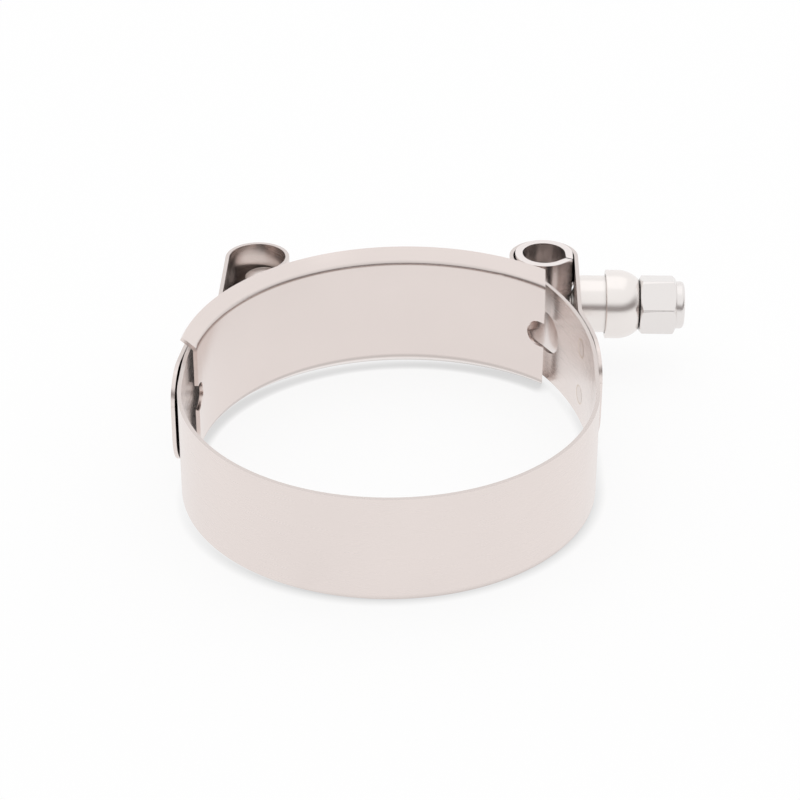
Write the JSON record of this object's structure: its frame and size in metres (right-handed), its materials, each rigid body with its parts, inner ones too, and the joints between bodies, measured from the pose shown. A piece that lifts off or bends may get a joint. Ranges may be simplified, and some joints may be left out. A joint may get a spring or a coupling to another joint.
{
  "type": "t bolt clamp",
  "caption": "Stainless T-bolt band clamp for a hose, with folded loops, a floating bridge, a rolled trunnion and a lock nut on a spacer sleeve and domed cap",
  "frame": {"origin": "On the axis of the hose seat, level with the lower edge of the band", "axes": "+Z along the hose, +X along the bolt towards its nut, +Y from the hose seat back towards the bolt"},
  "size_m": [0.091, 0.09, 0.024],
  "materials": {
    "satin_steel": "satin rolled stainless strip, warm grey",
    "bright_steel": "bright turned and rolled stainless",
    "bolt_steel": "rolled and forged stainless bolt",
    "nut_steel": "bright nut, a little bluer than the strip",
    "nylon": "off-white nylon"
  },
  "bodies": {
    "clamp": {"band": "satin_steel", "bridge": "satin_steel", "t_bolt": "bolt_steel", "trunnion": "bright_steel", "spacer_sleeve": "bright_steel"},
    "cap": {"thrust_cap": "bright_steel"},
    "nut": {"lock_nut": "nut_steel", "locking_ring": "nylon"}
  },
  "joints": [
    {"name": "nut_travel", "type": "slide", "parent": "clamp", "child": "cap", "axis": [1, 0, 0], "range_m": [0, 0.004]},
    {"name": "nut_turn", "type": "hinge", "parent": "cap", "child": "nut", "pos_m": [0.0454, 0.04715, 0.0095], "axis": [1, 0, 0], "range_deg": [0, 1440]}
  ],
  "couplings": [
    {"joint": "nut_turn", "follows": "nut_travel", "rad_per_m": 6283.2}
  ]
}
